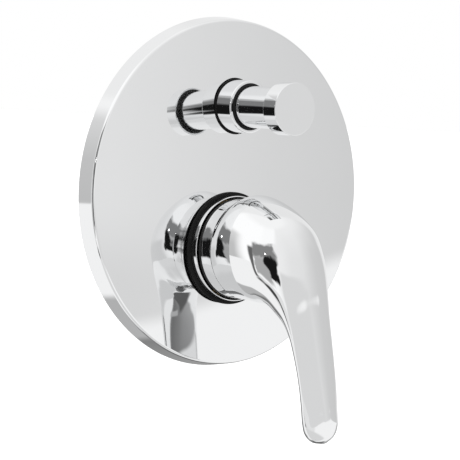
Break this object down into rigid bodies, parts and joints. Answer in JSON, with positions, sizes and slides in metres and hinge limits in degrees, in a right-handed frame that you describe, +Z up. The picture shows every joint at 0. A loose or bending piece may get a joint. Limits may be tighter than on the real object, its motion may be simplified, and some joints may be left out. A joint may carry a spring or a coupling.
{
  "type": "shower diverter mixer",
  "caption": "Concealed single-lever bath and shower mixer: round domed chrome plate, curved lever in a collar and a pull knob that diverts the water.",
  "frame": {"origin": "centre of the concealed body's four fixing-lug holes, on their back plane, on the axis of the cartridge", "axes": "+Z up the wall towards the diverter knob; -Y out of the wall towards the user; +X to the right as the user faces it. The finished wall lies at y = -0.038 m"},
  "size_m": [0.16, 0.1045, 0.1921],
  "materials": {
    "chrome": "polished chrome plating",
    "brass": "cast and machined brass",
    "rubber": "matte black rubber",
    "white_plastic": "moulded engineering plastic",
    "black_plastic": "glass-filled engineering plastic",
    "red_plastic": "moulded plastic",
    "grey_plastic": "moulded plastic",
    "ceramic": "lapped ceramic",
    "steel": "stainless steel"
  },
  "bodies": {
    "fixed": {"mixer_body": "brass", "cartridge_base": "white_plastic", "port_seals": "rubber", "cartridge_housing": "black_plastic", "fixed_ceramic_disc": "ceramic", "limit_ring": "red_plastic", "cartridge_nut": "black_plastic", "collar_o_ring": "rubber", "collar": "chrome", "collar_seal": "rubber", "cover_plate": "chrome", "rim_gasket": "rubber", "seat_ring": "brass", "diverter_bush": "brass", "bush_o_ring": "rubber", "spindle_seal": "rubber", "diverter_spring": "steel", "diverter_sleeve": "chrome", "sleeve_seal": "rubber", "stem_wiper": "rubber"},
    "guide": {"lever_guide": "white_plastic", "pivot_pin": "steel"},
    "lever": {"cartridge_lever": "brass", "handle": "chrome", "skirt_ring": "black_plastic", "handle_screw": "steel", "handle_plug": "grey_plastic"},
    "disc": {"disc_carrier": "white_plastic", "moving_ceramic_disc": "ceramic"},
    "diverter": {"diverter_spindle": "brass", "valve_piston": "brass", "valve_washers": "rubber", "piston_nut": "brass", "knob_stem": "chrome", "knob_cap": "chrome", "knob_screw": "steel"}
  },
  "joints": [
    {"name": "temperature_swing", "type": "hinge", "parent": "fixed", "child": "guide", "pos_m": [0, -0.038, 0], "axis": [0, -1, 0], "range_deg": [-65.5, 34.5]},
    {"name": "flow_lift", "type": "hinge", "parent": "guide", "child": "lever", "pos_m": [0, -0.06085, 0], "axis": [-0.9636, 0, -0.2672], "range_deg": [0, 22]},
    {"name": "disc_slide", "type": "slide", "parent": "guide", "child": "disc", "axis": [0.2672, 0, -0.9636], "range_m": [0, 0.0035]},
    {"name": "diverter_pull", "type": "slide", "parent": "fixed", "child": "diverter", "axis": [0, -1, 0], "range_m": [0, 0.009], "stiffness_N_per_m": 300, "springref_m": -0.005, "deforming": ["diverter_spring"]}
  ],
  "couplings": [
    {"joint": "disc_slide", "follows": "flow_lift", "m_per_rad": 0.009}
  ]
}
